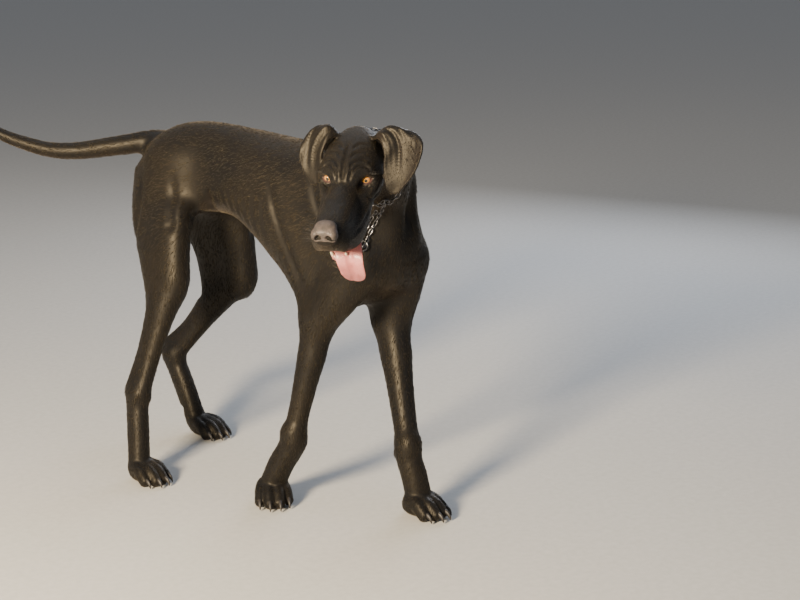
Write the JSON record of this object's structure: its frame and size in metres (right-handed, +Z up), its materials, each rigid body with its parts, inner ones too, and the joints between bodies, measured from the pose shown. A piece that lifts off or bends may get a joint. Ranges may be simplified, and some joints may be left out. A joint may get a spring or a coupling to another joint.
{
  "type": "great dane model",
  "caption": "Life-size museum model of a young black great dane standing with its head turned and mouth open, wearing a chain collar.",
  "frame": {"origin": "middle of the bounding box on the floor that the paws stand on", "axes": "+Z up; the dog faces -Y and its left side is +X"},
  "size_m": [0.5686, 1.3914, 0.9113],
  "materials": {
    "coat": "short glossy black fur",
    "nose_leather": "pebbled, damp",
    "eye": "wet amber",
    "tongue": "moist pink",
    "tooth": "ivory",
    "claw": "dark horn",
    "chain": "darkened steel"
  },
  "bodies": {
    "root": {"claw_fore_left_1": "claw", "claw_fore_left_2": "claw", "claw_fore_left_3": "claw", "claw_fore_left_4": "claw", "claw_fore_right_1": "claw", "claw_fore_right_2": "claw", "claw_fore_right_3": "claw", "claw_fore_right_4": "claw", "claw_hind_left_1": "claw", "claw_hind_left_2": "claw", "claw_hind_left_3": "claw", "claw_hind_left_4": "claw", "claw_hind_right_1": "claw", "claw_hind_right_2": "claw", "claw_hind_right_3": "claw", "claw_hind_right_4": "claw", "collar_chain": "chain", "ear_left": "coat", "ear_right": "coat", "eye_left": "eye", "eye_right": "eye", "head": "coat", "jaw_lower": "coat", "leg_fore_left": "coat", "leg_fore_right": "coat", "leg_hind_left": "coat", "leg_hind_right": "coat", "neck": "coat", "nose": "nose_leather", "paw_fore_left": "coat", "paw_fore_right": "coat", "paw_hind_left": "coat", "paw_hind_right": "coat", "shank_fore_left": "coat", "shank_fore_right": "coat", "shank_hind_left": "coat", "shank_hind_right": "coat", "tail": "coat", "teeth_lower": "tooth", "tongue": "tongue", "torso": "coat"}
  },
  "joints": []
}
